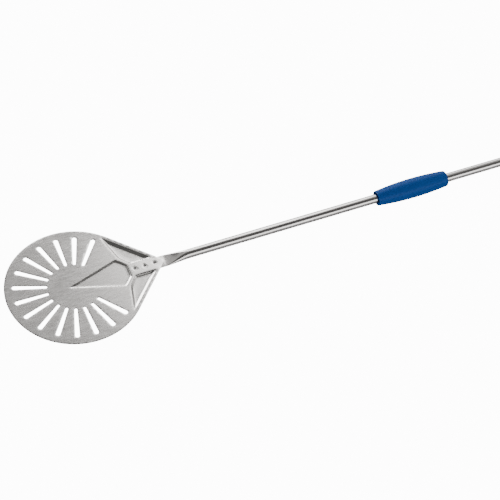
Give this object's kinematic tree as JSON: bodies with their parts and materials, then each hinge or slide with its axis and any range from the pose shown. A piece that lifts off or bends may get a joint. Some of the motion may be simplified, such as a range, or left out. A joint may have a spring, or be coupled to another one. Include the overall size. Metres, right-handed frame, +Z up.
{
  "type": "pizza peel",
  "caption": "Small round turning peel for a pizza oven: slotted pressed steel blade riveted to a long steel tube, with a sliding grip and a fixed end grip.",
  "frame": {"origin": "centre of the bounding box in plan, on the plane that the two grips lie on", "axes": "+X along the tube from the blade to the end grip, +Z up out of the blade's top face, +Y across the blade"},
  "size_m": [1.7, 0.23, 0.0348],
  "materials": {
    "blade_steel": "brushed",
    "tube_steel": "polished",
    "rivet_steel": "satin",
    "blue_grip": "fine texture",
    "bush_plastic": "satin"
  },
  "bodies": {
    "peel": {"blade": "blade_steel", "handle_tube": "tube_steel", "rivet_front": "rivet_steel", "rivet_middle": "rivet_steel", "rivet_rear": "rivet_steel", "end_grip": "blue_grip", "grip_pin": "rivet_steel"},
    "sleeve_bushes": {"sleeve_bush_front": "bush_plastic", "sleeve_bush_rear": "bush_plastic"},
    "sleeve": {"sleeve_shell": "blue_grip"}
  },
  "joints": [
    {"name": "sleeve_slide", "type": "slide", "parent": "peel", "child": "sleeve_bushes", "axis": [1, 0, 0], "range_m": [-0.35, 0.768]},
    {"name": "sleeve_spin", "type": "hinge", "parent": "sleeve_bushes", "child": "sleeve", "pos_m": [-0.117, 0, 0.0174], "axis": [1, 0, 0], "continuous": true}
  ]
}
